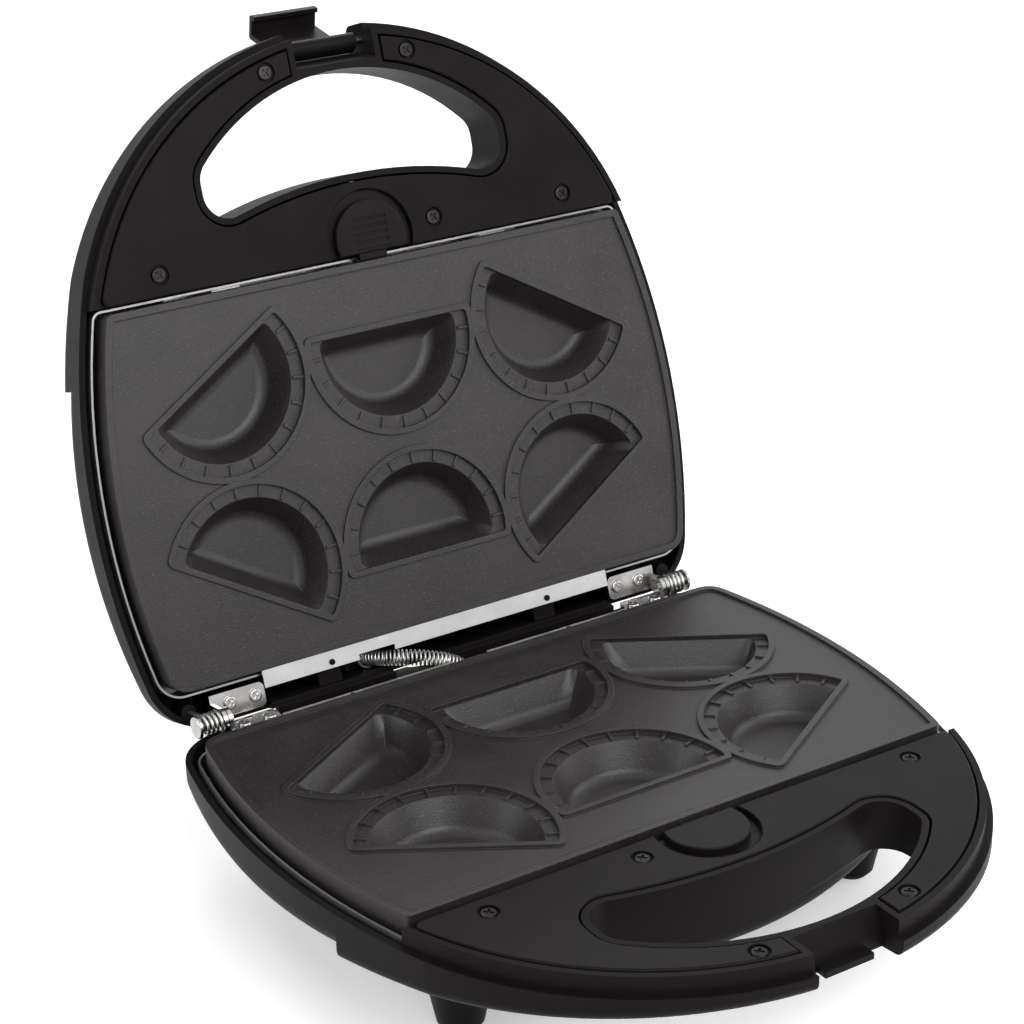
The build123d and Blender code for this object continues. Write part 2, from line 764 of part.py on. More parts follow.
def make_pan():
    pan = pan_form(0, -pan_rim_drop) - pan_form(-pan_sheet, 5)
    tab = Box(rest_tab_width, rest_tab_reach, pan_sheet, align=(Align.CENTER, Align.CENTER, Align.MAX))
    reach = rest_tab_reach / 2
    places = pair((front_rest_x, pan_front_y + reach + 0.3)) + pair((rear_rest_x, pan_gap - reach - 0.3))
    tabs = [place * Pos(0, 0, plate_bottom - running_gap) * tab for place in places]
    hole = cover_screw_shank_radius + screw_clearance
    cuts = [bore(place, hole, -40, 0) for place in pan_screw_places()]
    cuts += [bore(place, element_radius + element_hole_gap, -40, 0) for place in pair((element_end_x, element_rear_y))]
    return pan + tabs - cuts


def make_rail(relief_x):
    """Steel strip with two tongues, cut back where the conduit passes."""
    width = 2 * rail_half_length
    strip_plan = Pos(0, (rail_front_y + rail_rear_y) / 2) * Rectangle(width, rail_rear_y - rail_front_y)
    tongue = Rectangle(tongue_width, tongue_reach + rail_front_y + 1, align=(Align.CENTER, Align.MAX))
    tongues = [place * tongue for place in pair((tongue_x, rail_front_y + 1))]
    plan = strip_plan + tongues
    plan -= [place * Circle(rail_peg_radius + snug_gap) for place in pair((rail_post_x, rail_peg_y))]
    plan -= Pos(relief_x, rail_rear_y) * Rectangle(2 * rail_relief_half_width, 2 * rail_relief_depth)
    return prism(plan, -rail_drop - rail_sheet, -rail_drop)


def make_element():
    """Bent tube that lies on the pan below the cavities."""
    right = [(element_end_x, element_rear_y, -element_pin_drop), (element_end_x, element_rear_y, element_z),
             (element_half_width, element_rear_y, element_z), (element_half_width, element_front_y, element_z),
             (element_front_x, element_front_y, element_z)]
    left = [(-x, y, z) for x, y, z in reversed(right)]
    route = right + [(0, element_dip_y, element_z)] + left
    radii = [element_pin_bend, element_bend, element_bend, element_bend, element_bend / 2]
    path = FilletPolyline(*route, radius=radii + radii[-2::-1])
    section = Plane(origin=path @ 0, z_dir=path % 0) * Circle(element_radius)
    return sweep(section, path=path)


def clip():
    """Saddle over the element, standing on the pan floor, along Y."""
    inside = element_radius + snug_gap
    outside = inside + clip_sheet
    low = pan_floor - element_z
    saddle = Circle(outside) + Pos(0, low / 2) * Rectangle(2 * outside, -low)
    saddle += Pos(0, low + clip_sheet / 2) * Rectangle(2 * (outside + clip_foot), clip_sheet)
    saddle -= Circle(inside) + Pos(0, low) * Rectangle(2 * inside, -2 * low)
    saddle &= Pos(0, low) * Rectangle(60, 60, align=(Align.CENTER, Align.MIN))
    body = extrude(Plane.XZ * saddle, clip_width / 2, both=True)
    return Pos(0, 0, element_z) * body


def make_clips():
    one = clip()
    return Compound([place * one for place in pair(side_clip)]
                    + [place * Rot(0, 0, 90) * one for place in pair(front_clip)])


# Hinge
def make_bracket(ear_x, axis_height):
    """Right bracket, with its ear rising to the hinge axis."""
    outer_x = ear_x + bracket_sheet
    flange = Box(outer_x - bracket_inner_x, bracket_rear_y - bracket_front_y, bracket_sheet,
                 align=(Align.MIN, Align.MIN, Align.MIN))
    flange = Pos(bracket_inner_x, bracket_front_y, bracket_bottom) * flange
    flange = fillet(flange.edges().filter_by(Axis.Z).group_by(Axis.X)[0], 2.5)
    outline = make_face(Polyline((bracket_front_y + 3, bracket_bottom), (bracket_rear_y, bracket_bottom),
                                 (hinge_y + knuckle_radius, axis_height), (hinge_y - knuckle_radius, axis_height),
                                 close=True))
    ear = outline + Pos(hinge_y, axis_height) * Circle(knuckle_radius)
    ear = Pos(ear_x, 0, 0) * extrude(Plane.YZ * ear, bracket_sheet)
    body = flange + ear
    running = hinge_pin_radius + hinge_running_gap
    axle = Pos(ear_x, hinge_y, axis_height) * Cylinder(running, 20, rotation=(0, 90, 0))
    holes = [bore(Pos(x, hinge_screw_y), cover_screw_shank_radius + screw_clearance, -20, 0) for x in hinge_screw_x]
    return body - ([axle] + holes)


def both_sides(body):
    """A right-hand piece and its mirror image."""
    return Compound([body, mirror(body, Plane.YZ)])


def make_pin():
    start = bracket_outer_x - bracket_sheet - 1.0
    end = spring_end_x + hinge_spring_wire + 0.6
    middle = Pos((start + end) / 2, hinge_y, hinge_z)
    shaft = middle * Cylinder(hinge_pin_radius, end - start, rotation=(0, 90, 0))
    head = Pos(end + hinge_head_thickness / 2, hinge_y, hinge_z) \
        * Cylinder(hinge_head_radius, hinge_head_thickness, rotation=(0, 90, 0))
    return shaft + fillet(head.faces().sort_by(Axis.X)[-1].edges(), 0.6)


# Latch
def make_latch():
    """Hook seen closed, with its pivot at the origin."""
    bottom = -latch_drop
    inner_face = -latch_face + latch_sheet
    tip = -latch_face + latch_hook_reach
    lip_inner = tip - latch_lip
    outline = [(-1.5, latch_barrel_radius - 0.4), (inner_face - 0.3, 0.8), (-latch_face, -4.0),
               (-latch_face, bottom), (tip, bottom), (tip, bottom + latch_lip_height),
               (lip_inner, bottom + latch_lip_height), (lip_inner, bottom + latch_sheet),
               (inner_face, bottom + latch_sheet), (inner_face, -5.2), (-2.0, -2.4)]
    profile = make_face(Polyline(*outline, close=True)) + Circle(latch_barrel_radius)
    body = extrude(Plane.YZ * profile, latch_half_width, both=True)
    corners = [edge for edge in body.edges().filter_by(Axis.X)
               if edge.center().Y < -latch_face + 0.1 and edge.center().Z < bottom + 0.1
               or abs(edge.center().Y - tip) < 0.1 and edge.center().Z < bottom + 0.1]
    body = fillet(corners, 1.2)
    return body - Cylinder(latch_pin_radius + hinge_running_gap, 60, rotation=(0, 90, 0))


# Conduit between the halves
def ferrule_radius():
    return conduit_radius + ferrule_play + ferrule_wall


def make_ferrule(x):
    """Short sleeve that ends the coiled conduit in one half."""
    place = Pos(x, conduit_y)
    bottom = -conduit_mouth_drop - ferrule_length
    sleeve = bore(place, ferrule_radius(), bottom, -conduit_mouth_drop)
    sleeve -= bore(place, conduit_radius + ferrule_play, bottom + ferrule_lip, 0)
    return sleeve - bore(place, conduit_radius - 2 * conduit_wire, bottom - 1, 0)


def make_conduit():
    """Coiled steel sleeve from the base to the opened lid."""
    base_mouth = Vector(conduit_base_x, conduit_y, -conduit_mouth_drop)
    lid_mouth = (lid_open * Pos(conduit_lid_x, conduit_y, -conduit_mouth_drop)).position
    lid_inner = (lid_open * Pos(conduit_lid_x, conduit_y, -conduit_mouth_drop - 1)).position
    base_way = Vector(0, 0, 1)
    lid_way = (lid_inner - lid_mouth).normalized()
    line = Wire([
        Edge.make_line(base_mouth - base_way * conduit_inside, base_mouth),
        Edge.make_bezier(base_mouth, base_mouth + base_way * conduit_pull,
                         lid_mouth - lid_way * conduit_pull, lid_mouth),
        Edge.make_line(lid_mouth, lid_mouth + lid_way * conduit_inside)])
    across = Vector(1, 0.2, 0.1)
    reach = conduit_radius - conduit_wire / 2

    def point(turn):
        share = min(max(turn / conduit_curls, 0), 1)
        extra = (turn - share * conduit_curls) * line.length / conduit_curls
        way = (line % share).normalized()
        side = (across - way * across.dot(way)).normalized()
        angle = 2 * pi * turn
        return (line @ share) + way * extra + side * (reach * cos(angle)) + way.cross(side) * (reach * sin(angle))

    print("conduit length", round(line.length, 1), "gap", round(coil_gap(point, conduit_curls, conduit_wire), 2))
    return wire_tube(winding(point, conduit_curls), conduit_wire)


# Inner parts
def make_thermostat():
    body = bore(Pos(*thermostat_place), thermostat_radius, -pan_depth - thermostat_height, -pan_depth)
    body = fillet(body.faces().sort_by(Axis.Z)[0].edges(), 1.2)
    blades = [Pos(thermostat_place[0] + side * 4, thermostat_place[1], -pan_depth - thermostat_height)
              * Box(0.8, 6.3, 6, align=(Align.CENTER, Align.CENTER, Align.MAX)) for side in (-1, 1)]
    return body + blades


def make_fuse():
    height = -pan_depth - fuse_radius
    place = Pos(fuse_place[0], fuse_place[1], height)
    return place * (Cylinder(fuse_radius, fuse_length, rotation=(90, 0, 0))
                    + Cylinder(0.6, 2 * fuse_length, rotation=(90, 0, 0)))


def make_terminal_block():
    length, depth, height = block_size
    body = Box(length, depth, height, align=(Align.CENTER, Align.CENTER, Align.MIN))
    cuts = []
    for number in range(block_ways):
        x = (number - (block_ways - 1) / 2) * length / block_ways
        cuts.append(Pos(x, 0, height) * Cylinder(2.2, 8))
        cuts.append(Pos(x, 0, height * 0.4) * Cylinder(1.8, 2 * depth, rotation=(90, 0, 0)))
        if number < block_ways - 1:
            cuts.append(Pos(x + length / block_ways / 2, 0, height) * Box(1.2, 2 * depth, 6))
    return Pos(block_place[0], block_place[1], -block_bottom_drop) * (body - cuts)


def make_inlet():
    """Grommet in the rear wall, with its hole left free."""
    bore_radius = inlet_radius - inlet_wall
    tube = Cylinder(inlet_radius, wall + 6, align=(Align.CENTER, Align.CENTER, Align.MIN))
    outer = Pos(0, 0, wall + 6 - 0.01) * Cone(inlet_radius + inlet_flange, inlet_radius + inlet_flange - 0.8,
                                       inlet_flange_thickness, align=(Align.CENTER, Align.CENTER, Align.MIN))
    body = tube + outer - Cylinder(bore_radius, 60)
    return Pos(inlet_x, rear_wall_y - wall - 6 + 0.01, -inlet_drop) * Rot(-90, 0, 0) * body


def make_lens(place):
    """Small domed lamp lens, seen from outside the lid's top."""
    x, y = place.position.X, place.position.Y
    tip = dome_height(x, y) - lamp_rise
    rod = bore(place, lamp_radius, tip, -lamp_seat_drop)
    rod = fillet(rod.faces().sort_by(Axis.Z)[0].edges(), 1.4)
    return rod + bore(place, lamp_radius + lamp_flange, -lamp_seat_drop, -lamp_seat_drop + lamp_flange_thickness)


def make_lamp_carrier():
    """Inverted tray that holds both lenses on their seat."""
    size = (2 * lamp_x + lamp_seat_depth, lamp_seat_depth)
    low = -lamp_seat_drop
    tray = prism(Rectangle(*size), low, low + lamp_flange_thickness + carrier_sheet)
    tray -= prism(Rectangle(size[0] - 2.4, size[1] - 2.4), low - 1, low + lamp_flange_thickness)
    sockets = [bore(Pos(side * lamp_x, 0), lamp_radius - 1.4, low, 0) for side in (-1, 1)]
    return Pos(0, lamp_y) * (tray - sockets)


def make_pads():
    one = Cylinder(pad_radius, pad_height, align=(Align.CENTER, Align.CENTER, Align.MIN))
    one = chamfer(one.faces().sort_by(Axis.Z)[0].edges(), 0.8)
    return Compound([place * Pos(0, 0, -foot_bottom_drop) * one for place in foot_places()])


# Places of the two halves
axis_place = Pos(0, hinge_y, hinge_z)
lid_swing = axis_place * Rot(-lid_open_angle, 0, 0) * axis_place.inverse()
turned_over = Rot(0, 180, 0)
lid_open = lid_swing * turned_over
latch_place = lid_swing * Pos(0, latch_pivot_y, latch_pivot_z)


def make_pieces():
    """Every node with its shape, in the frame of the base half."""
    pieces = {}

    def both(name, body):
        pieces["base_" + name] = body
        pieces["lid_" + name] = lid_open * body

    both("plate", make_plate())
    both("pan", make_pan())
    both("heating_element", make_element())
    both("element_clips", make_clips())
    both("handle_cover", make_cover())
    cover_head = -cover_drop - screw_recess_depth
    head = cover_screw_head_radius
    both("cover_screws", screw_group(cover_screw_places(), cover_head, head, cover_screw_length))
    both("pan_screws", screw_group(pan_screw_places(), pan_floor, head, cover_screw_length))
    both("hinge_screws", screw_group(hinge_screw_places(), -bracket_drop, hinge_screw_head_radius,
                                     hinge_screw_length))
    both("button_spring", make_button_spring())
    both("thermostat", make_thermostat())
    pieces["base_rail"] = make_rail(conduit_base_x)
    pieces["lid_rail"] = lid_open * make_rail(conduit_lid_x)
    pieces["base_housing"] = make_base_housing()
    pieces["lid_housing"] = lid_open * make_lid_housing()
    pieces["base_release_button"] = make_button(0)
    pieces["lid_release_button"] = lid_open * make_button(button_rib_count)
    pieces["base_hinge_brackets"] = both_sides(make_bracket(bracket_outer_x - bracket_sheet, hinge_z))
    pieces["lid_hinge_brackets"] = lid_open * both_sides(make_bracket(bracket_outer_x + ear_gap, -hinge_z))
    pieces["hinge_pins"] = both_sides(make_pin())
    pieces["hinge_springs"] = both_sides(make_hinge_spring())
    pieces["conduit_spring"] = make_conduit()
    pieces["base_conduit_ferrule"] = make_ferrule(conduit_base_x)
    pieces["lid_conduit_ferrule"] = lid_open * make_ferrule(conduit_lid_x)
    pieces["latch"] = latch_place * Rot(-latch_open_angle, 0, 0) * make_latch()
    pin_length = 2 * (notch_half_width + wall - 0.6)
    pieces["latch_pin"] = latch_place * Cylinder(latch_pin_radius, pin_length, rotation=(0, 90, 0))
    pieces["thermal_fuse"] = make_fuse()
    pieces["terminal_block"] = make_terminal_block()
    pieces["cord_inlet_bushing"] = make_inlet()
    lamps = lamp_places()
    pieces["ready_lamp_lens"] = lid_open * make_lens(lamps[0])
    pieces["power_lamp_lens"] = lid_open * make_lens(lamps[1])
    pieces["lamp_carrier"] = lid_open * make_lamp_carrier()
    pieces["foot_pads"] = make_pads()
    return pieces


pieces = make_pieces()
box = Compound(list(pieces.values())).bounding_box()
ground = Pos(-(box.min.X + box.max.X) / 2, -(box.min.Y + box.max.Y) / 2, -box.min.Z)
print("origin in the drawing", -ground.position)
os.makedirs("parts", exist_ok=True)
for name, body in pieces.items():
    export_step(ground * body, f"parts/{name}.step")
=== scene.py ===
import json
from math import cos, pi, radians, sin

import bmesh
import bpy
from mathutils import Matrix, Vector


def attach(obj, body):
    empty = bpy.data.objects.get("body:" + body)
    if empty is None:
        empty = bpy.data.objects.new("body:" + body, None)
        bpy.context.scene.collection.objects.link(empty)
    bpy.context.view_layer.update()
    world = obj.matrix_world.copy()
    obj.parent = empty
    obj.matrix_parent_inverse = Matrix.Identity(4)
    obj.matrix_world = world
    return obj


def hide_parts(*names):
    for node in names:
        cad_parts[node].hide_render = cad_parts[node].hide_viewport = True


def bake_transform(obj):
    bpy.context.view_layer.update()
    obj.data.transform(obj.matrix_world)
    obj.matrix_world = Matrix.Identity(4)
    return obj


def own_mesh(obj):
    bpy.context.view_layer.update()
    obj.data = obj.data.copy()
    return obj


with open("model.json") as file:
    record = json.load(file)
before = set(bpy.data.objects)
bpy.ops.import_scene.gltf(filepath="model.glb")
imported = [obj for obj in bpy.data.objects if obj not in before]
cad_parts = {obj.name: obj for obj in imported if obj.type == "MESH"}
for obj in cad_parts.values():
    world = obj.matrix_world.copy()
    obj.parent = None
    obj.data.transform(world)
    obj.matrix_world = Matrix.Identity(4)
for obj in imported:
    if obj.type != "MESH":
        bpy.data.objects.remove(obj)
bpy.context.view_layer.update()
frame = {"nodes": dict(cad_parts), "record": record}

# Sizes are metres in the part's own frame.
CAMERA_AZIMUTH = radians(-31.66)
CAMERA_ELEVATION = radians(22.91)
CAMERA_ROLL = radians(-1.32)
CAMERA_DISTANCE = 0.93982
CAMERA_TARGET = Vector((0.00368, 0.04831, 0.13962))
CAMERA_LENS_MM = 87.18
CAMERA_SENSOR_MM = 36.0
PHOTO_SIZE_PX = 1024
PRINCIPAL_X_PX = 477.74
PRINCIPAL_Y_PX = 471.54

STUDIO_MIDDLE = (0, 0, 0.12)
WORLD_FILL = 0.40
FLOOR_HALF_WIDTH = 6.0
FLOOR_GREY = 0.86
FLOOR_ROUGHNESS = 0.7
FLOOR_GLOW = 0.42

PLASTIC_PATCH_SIZE = 45.0
COATING_PATCH_SIZE = 35.0
ROLLED_PATCH_SIZE = 70.0
PLATED_PATCH_SIZE = 120.0
LENS_PATCH_SIZE = 90.0
PLASTIC_GRAIN_DEPTH = 0.0002
COATING_PEEL_DEPTH = 0.00030
ROLLED_LINE_DEPTH = 0.00012
PLATED_GRAIN_DEPTH = 0.00008
LENS_GRAIN_DEPTH = 0.0001
PLASTIC_EDGE_RADIUS = 0.0004
COATING_EDGE_RADIUS = 0.0006
EDGE_SAMPLES = 4
PLASTIC_GLINT = (0.6, 0.58, 0.59, 1)

CONDUIT_BASE_MOUTH = Vector((0.004, 0.06018, 0.047))
CONDUIT_LID_MOUTH = Vector((-0.030, 0.08026, 0.05702))
CONDUIT_LID_WAY = Vector((0, 0.9524, -0.3049))
CONDUIT_PULL = 0.012
CONDUIT_SLACK = 1.25
CONDUIT_INSIDE = 0.0068
CONDUIT_OUTER_RADIUS = 0.0033
CONDUIT_TURNS = 42
CONDUIT_STEPS_PER_TURN = 22
CONDUIT_COIL_RADIUS = 0.00288
CONDUIT_WIRE_RADIUS = 0.00040
CONDUIT_WIRE_SIDES = 8
BUTTON_SPRINGS = (
    ("base", "base_button_slide", (0, 1, 0), (0, -0.12492, 0.0512)),
    ("lid", "lid_button_slide", (0, 0.3049, 0.9524), (0, 0.1327, 0.23463)),
)
GROMMET_LOW = (-0.0258, 0.0646, 0.05203)
GROMMET_HIGH = (0.0008, 0.0670, 0.0557)
GROMMET_GAP = 0.0003
GROMMET_STEPS = 60
GROMMET_BEVEL_SHARE = 0.2
GROMMET_SHOULDER = 0.9
GROMMET_LEAST_HEIGHT = 0.00005
CONDUIT_SAMPLES = 200


# Camera, light and floor
def add_camera():
    """Camera at the photograph's angle and framing."""
    back = Vector((sin(CAMERA_AZIMUTH) * cos(CAMERA_ELEVATION),
                   -cos(CAMERA_AZIMUTH) * cos(CAMERA_ELEVATION), sin(CAMERA_ELEVATION)))
    level = Vector((cos(CAMERA_AZIMUTH), sin(CAMERA_AZIMUTH), 0))
    upright = back.cross(level)
    right = level * cos(CAMERA_ROLL) + upright * sin(CAMERA_ROLL)
    up = back.cross(right)
    data = bpy.data.cameras.new("photo_camera")
    data.sensor_width = CAMERA_SENSOR_MM
    data.lens = CAMERA_LENS_MM
    data.shift_x = 0.5 - PRINCIPAL_X_PX / PHOTO_SIZE_PX
    data.shift_y = PRINCIPAL_Y_PX / PHOTO_SIZE_PX - 0.5
    data.clip_end = 50
    camera = bpy.data.objects.new("photo_camera", data)
    bpy.context.scene.collection.objects.link(camera)
    place = Matrix.Translation(CAMERA_TARGET + back * CAMERA_DISTANCE)
    turn = Matrix((right, up, back)).transposed().to_4x4()
    camera.matrix_world = place @ turn
    bpy.context.scene.camera = camera


def add_softbox(name, place, width, height, power):
    """White rectangular lamp that faces the middle of the studio."""
    data = bpy.data.lights.new(name, "AREA")
    data.shape = "RECTANGLE"
    data.size = width
    data.size_y = height
    data.energy = power
    lamp = bpy.data.objects.new(name, data)
    bpy.context.scene.collection.objects.link(lamp)
    aim = (Vector(STUDIO_MIDDLE) - Vector(place)).to_track_quat("-Z", "Y")
    lamp.matrix_world = Matrix.Translation(Vector(place)) @ aim.to_matrix().to_4x4()


def add_studio():
    """Four lamps round the part."""
    add_softbox("left_strip", (-1.5, 0.35, 0.75), width=0.5, height=1.6, power=9)
    add_softbox("front_top", (0.1, -1.5, 1.25), width=1.6, height=1.0, power=26)
    add_softbox("right_fill", (1.7, -0.5, 0.9), width=1.0, height=1.4, power=12)
    add_softbox("back_top", (0.2, 1.5, 1.6), width=1.8, height=0.8, power=16)


def background_rays(tree):
    """Value that is 1 for the rays that show the background, and 0 for the others."""
    rays = tree.nodes.new("ShaderNodeLightPath")
    share = rays.outputs["Is Camera Ray"]
    for label in ("Is Glossy Ray", "Is Transmission Ray"):
        share = combine(tree, "MAXIMUM", share, rays.outputs[label])
    return share


def add_world():
    """Even grey light, seen as white by the camera and in reflections."""
    world = bpy.data.worlds.new("studio")
    bpy.context.scene.world = world
    world.use_nodes = True
    tree = world.node_tree
    tree.nodes.clear()
    output = tree.nodes.new("ShaderNodeOutputWorld")
    fill = tree.nodes.new("ShaderNodeBackground")
    fill.inputs["Color"].default_value = (1, 1, 1, 1)
    fill.inputs["Strength"].default_value = WORLD_FILL
    seen = tree.nodes.new("ShaderNodeBackground")
    seen.inputs["Color"].default_value = (1, 1, 1, 1)
    seen.inputs["Strength"].default_value = 1.0
    mix = tree.nodes.new("ShaderNodeMixShader")
    tree.links.new(background_rays(tree), mix.inputs["Fac"])
    tree.links.new(fill.outputs[0], mix.inputs[1])
    tree.links.new(seen.outputs[0], mix.inputs[2])
    tree.links.new(mix.outputs[0], output.inputs["Surface"])


def add_floor():
    """Pale floor that takes the shadow and shows white elsewhere."""
    half = FLOOR_HALF_WIDTH
    corners = [(-half, -half, 0), (half, -half, 0), (half, half, 0), (-half, half, 0)]
    mesh = bpy.data.meshes.new("studio_floor")
    mesh.from_pydata(corners, [], [(0, 1, 2, 3)])
    floor = bpy.data.objects.new("studio_floor", mesh)
    bpy.context.scene.collection.objects.link(floor)
    material = bpy.data.materials.new("pale_floor")
    material.use_nodes = True
    tree = material.node_tree
    principled = tree.nodes["Principled BSDF"]
    principled.inputs["Base Color"].default_value = (FLOOR_GREY, FLOOR_GREY, FLOOR_GREY, 1)
    principled.inputs["Roughness"].default_value = FLOOR_ROUGHNESS
    glow = tree.nodes.new("ShaderNodeEmission")
    glow.inputs["Color"].default_value = (1, 1, 1, 1)
    strength = combine(tree, "MULTIPLY", background_rays(tree), FLOOR_GLOW)
    tree.links.new(strength, glow.inputs["Strength"])
    both = tree.nodes.new("ShaderNodeAddShader")
    tree.links.new(principled.outputs[0], both.inputs[0])
    tree.links.new(glow.outputs[0], both.inputs[1])
    tree.links.new(both.outputs[0], tree.nodes["Material Output"].inputs["Surface"])
    mesh.materials.append(material)


# Shader helpers
def object_coordinates(tree, stretch=None):
    """Coordinates of the part's own frame, stretched by a vector where one is given."""
    coordinates = tree.nodes.new("ShaderNodeTexCoord")
    if stretch is None:
        return coordinates.outputs["Object"]
    mapping = tree.nodes.new("ShaderNodeMapping")
    mapping.inputs["Scale"].default_value = stretch
    tree.links.new(coordinates.outputs["Object"], mapping.inputs["Vector"])
    return mapping.outputs["Vector"]


def noise(tree, vector, scale, detail, roughness=0.55):
    """Noise value whose scale is a number or a socket."""
    node = tree.nodes.new("ShaderNodeTexNoise")
    node.inputs["Detail"].default_value = detail
    node.inputs["Roughness"].default_value = roughness
    tree.links.new(vector, node.inputs["Vector"])
    if isinstance(scale, float):
        node.inputs["Scale"].default_value = scale
    else:
        tree.links.new(scale, node.inputs["Scale"])
    return node.outputs["Fac"]


def spread(tree, value, low, high, out_low=0.0, out_high=1.0):
    """Maps a value's range low to high onto another range."""
    node = tree.nodes.new("ShaderNodeMapRange")
    tree.links.new(value, node.inputs["Value"])
    limits = {"From Min": low, "From Max": high, "To Min": out_low, "To Max": out_high}
    for label, number in limits.items():
        if isinstance(number, float):
            node.inputs[label].default_value = number
        else:
            tree.links.new(number, node.inputs[label])
    return node.outputs["Result"]


def combine(tree, operation, first, second):
    """Result of one sum on two values, each a number or a socket."""
    node = tree.nodes.new("ShaderNodeMath")
    node.operation = operation
    for index, value in enumerate((first, second)):
        if isinstance(value, float):
            node.inputs[index].default_value = value
        else:
            tree.links.new(value, node.inputs[index])
    return node.outputs[0]


def weighted_sum(tree, first, first_share, second, second_share):
    """Two values added, each times its share."""
    return combine(tree, "ADD", combine(tree, "MULTIPLY", first, first_share),
                   combine(tree, "MULTIPLY", second, second_share))


def blend_colors(tree, share, first, second):
    """Colour between two, each given as a tuple or a socket."""
    node = tree.nodes.new("ShaderNodeMix")
    node.data_type = "RGBA"
    tree.links.new(share, node.inputs["Factor"])
    for label, value in (("A", first), ("B", second)):
        socket = next(entry for entry in node.inputs
                      if entry.name == label and entry.type == "RGBA")
        if isinstance(value, tuple):
            socket.default_value = value
        else:
            tree.links.new(value, socket)
    return next(entry for entry in node.outputs if entry.type == "RGBA")


# Node groups
def new_group(name, inputs, outputs):
    """Shader group with number inputs, given with their values, and number outputs."""
    group = bpy.data.node_groups.new(name, "ShaderNodeTree")
    number = "NodeSocketFloat"
    for label, value in inputs.items():
        socket = group.interface.new_socket(name=label, in_out="INPUT", socket_type=number)
        socket.default_value = value
    for label in outputs:
        group.interface.new_socket(name=label, in_out="OUTPUT", socket_type=number)
    return group, group.nodes.new("NodeGroupInput"), group.nodes.new("NodeGroupOutput")


def build_wear_group():
    """Handling marks: rubbed patches and faint smears that change gloss and tone."""
    group, given, result = new_group(
        "handling_marks", {"Patch Size": 60.0, "Low": 0.3, "High": 0.4}, ("Roughness", "Patches"))
    vector = object_coordinates(group)
    patches = noise(group, vector, given.outputs["Patch Size"], detail=4.0)
    smears = noise(group, object_coordinates(group, (30, 220, 90)), 1.0, detail=5.0, roughness=0.7)
    mixed = weighted_sum(group, patches, 0.7, smears, 0.3)
    rough = spread(group, mixed, 0.3, 0.7, given.outputs["Low"], given.outputs["High"])
    group.links.new(rough, result.inputs["Roughness"])
    group.links.new(patches, result.inputs["Patches"])
    return group


def build_grain_group():
    """Fine moulded or sprayed grain as a height."""
    group, given, result = new_group("fine_grain", {"Size": 1500.0}, ("Height",))
    vector = object_coordinates(group)
    fine = noise(group, vector, given.outputs["Size"], detail=2.0)
    coarse_size = combine(group, "MULTIPLY", given.outputs["Size"], 0.22)
    coarse = noise(group, vector, coarse_size, detail=2.0)
    group.links.new(weighted_sum(group, fine, 0.6, coarse, 0.4), result.inputs["Height"])
    return group


def build_fleck_group():
    """Small pale flecks, as in a sprayed coating."""
    group, given, result = new_group("flecks", {"Size": 900.0, "Share": 0.2}, ("Mask",))
    cells = group.nodes.new("ShaderNodeTexVoronoi")
    group.links.new(object_coordinates(group), cells.inputs["Vector"])
    group.links.new(given.outputs["Size"], cells.inputs["Scale"])
    near = spread(group, cells.outputs["Distance"], 0.12, 0.34, 1.0, 0.0)
    chosen = group.nodes.new("ShaderNodeSeparateColor")
    group.links.new(cells.outputs["Color"], chosen.inputs["Color"])
    kept = combine(group, "LESS_THAN", chosen.outputs[0], given.outputs["Share"])
    group.links.new(combine(group, "MULTIPLY", near, kept), result.inputs["Mask"])
    return group


def build_streak_group():
    """Rolling and brushing lines along X."""
    group, given, result = new_group("rolled_streaks", {"Lines": 2200.0}, ("Height",))
    scale = group.nodes.new("ShaderNodeCombineXYZ")
    scale.inputs[0].default_value = 14.0
    group.links.new(given.outputs["Lines"], scale.inputs[1])
    group.links.new(given.outputs["Lines"], scale.inputs[2])
    stretched = group.nodes.new("ShaderNodeVectorMath")
    stretched.operation = "MULTIPLY"
    group.links.new(object_coordinates(group), stretched.inputs[0])
    group.links.new(scale.outputs[0], stretched.inputs[1])
    lines = noise(group, stretched.outputs[0], 1.0, detail=4.0, roughness=0.65)
    group.links.new(lines, result.inputs["Height"])
    return group


wear_group = build_wear_group()
grain_group = build_grain_group()
fleck_group = build_fleck_group()
streak_group = build_streak_group()


def place_group(tree, group, **values):
    """Group put into a material, with its own values."""
    node = tree.nodes.new("ShaderNodeGroup")
    node.node_tree = group
    for label, value in values.items():
        node.inputs[label.replace("_", " ")].default_value = value
    return node


# Materials
def new_material(name, color, metallic=0.0):
    """Material, its node tree and its main shader."""
    material = bpy.data.materials.new(name)
    material.use_nodes = True
    shader = material.node_tree.nodes["Principled BSDF"]
    shader.inputs["Base Color"].default_value = (*color, 1)
    shader.inputs["Metallic"].default_value = metallic
    return material, material.node_tree, shader


def add_marks(tree, shader, patch_size, low, high, color, worn_color):
    """Roughness from low to high and tone between two colours, over the surface."""
    marks = place_group(tree, wear_group, Patch_Size=patch_size, Low=low, High=high)
    tree.links.new(marks.outputs["Roughness"], shader.inputs["Roughness"])
    worn = spread(tree, marks.outputs["Patches"], 0.35, 0.7)
    tone = blend_colors(tree, worn, (*color, 1), (*worn_color, 1))
    tree.links.new(tone, shader.inputs["Base Color"])
    return tone


def add_bump(tree, shader, height, strength, distance, edge=0.0):
    """Fine relief, over edges softened by the radius edge where one is given."""
    bump = tree.nodes.new("ShaderNodeBump")
    if edge:
        soft = tree.nodes.new("ShaderNodeBevel")
        soft.samples = EDGE_SAMPLES
        soft.inputs["Radius"].default_value = edge
        tree.links.new(soft.outputs["Normal"], bump.inputs["Normal"])
    bump.inputs["Strength"].default_value = strength
    bump.inputs["Distance"].default_value = distance
    tree.links.new(height, bump.inputs["Height"])
    tree.links.new(bump.outputs["Normal"], shader.inputs["Normal"])


